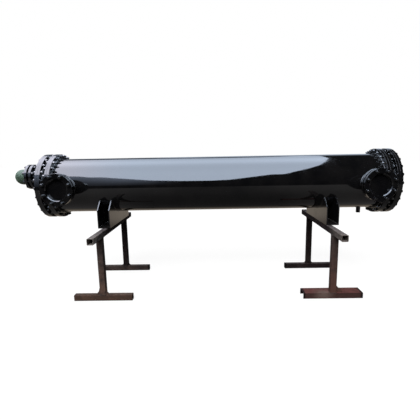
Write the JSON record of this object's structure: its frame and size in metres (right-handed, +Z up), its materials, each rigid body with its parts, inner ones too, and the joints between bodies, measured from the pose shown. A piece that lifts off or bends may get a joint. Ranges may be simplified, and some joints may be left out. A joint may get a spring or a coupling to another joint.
{
  "type": "shell-and-tube economizer on trestle stands",
  "caption": "Horizontal steel shell-and-tube heat exchanger with bolted flat end covers, blanked flanged nozzles, saddles and two square-tube trestles; recovers heat in process plant.",
  "frame": {"origin": "on the ground, under the middle of the part's box", "axes": "+X along the shell towards the end with the drain, -Y the way the side nozzles point, +Z up"},
  "size_m": [4.329, 1.465, 1.546],
  "materials": {
    "gloss_black_paint": "glossy black paint with light dust",
    "gasket_sheet": "matt fibre gasket sheet",
    "green_plastic": "satin moulded plastic",
    "rusty_brown_steel": "dull brown paint with rust",
    "red_brown_steel": "dull red-brown primer with rust"
  },
  "bodies": {
    "root": {"shell": "gloss_black_paint", "drain_nipple": "gloss_black_paint", "left_tubesheet": "gloss_black_paint", "left_channel": "gloss_black_paint", "left_cover": "gloss_black_paint", "right_tubesheet": "gloss_black_paint", "right_channel": "gloss_black_paint", "right_cover": "gloss_black_paint", "left_nozzle": "gloss_black_paint", "left_blanking_disc": "gloss_black_paint", "left_counter_flange": "gloss_black_paint", "right_nozzle": "gloss_black_paint", "right_blanking_disc": "gloss_black_paint", "right_counter_flange": "gloss_black_paint", "end_nozzle": "gloss_black_paint", "end_blanking_disc": "gloss_black_paint", "end_counter_flange": "gloss_black_paint", "end_stub": "gloss_black_paint", "left_saddle_base": "gloss_black_paint", "left_saddle_inner_plate": "gloss_black_paint", "left_saddle_outer_plate": "gloss_black_paint", "left_saddle_web": "gloss_black_paint", "right_saddle_base": "gloss_black_paint", "right_saddle_inner_plate": "gloss_black_paint", "right_saddle_outer_plate": "gloss_black_paint", "right_saddle_web": "gloss_black_paint", "left_tubesheet_gasket": "gasket_sheet", "left_cover_gasket": "gasket_sheet", "right_tubesheet_gasket": "gasket_sheet", "right_cover_gasket": "gasket_sheet", "end_cap": "green_plastic", "left_rail": "rusty_brown_steel", "left_front_leg": "rusty_brown_steel", "left_back_leg": "rusty_brown_steel", "left_front_foot": "rusty_brown_steel", "left_back_foot": "rusty_brown_steel", "left_gussets": "rusty_brown_steel", "right_rail": "rusty_brown_steel", "right_front_leg": "rusty_brown_steel", "right_back_leg": "rusty_brown_steel", "right_back_foot": "rusty_brown_steel", "right_gussets": "rusty_brown_steel", "right_front_foot": "red_brown_steel"}
  },
  "joints": []
}
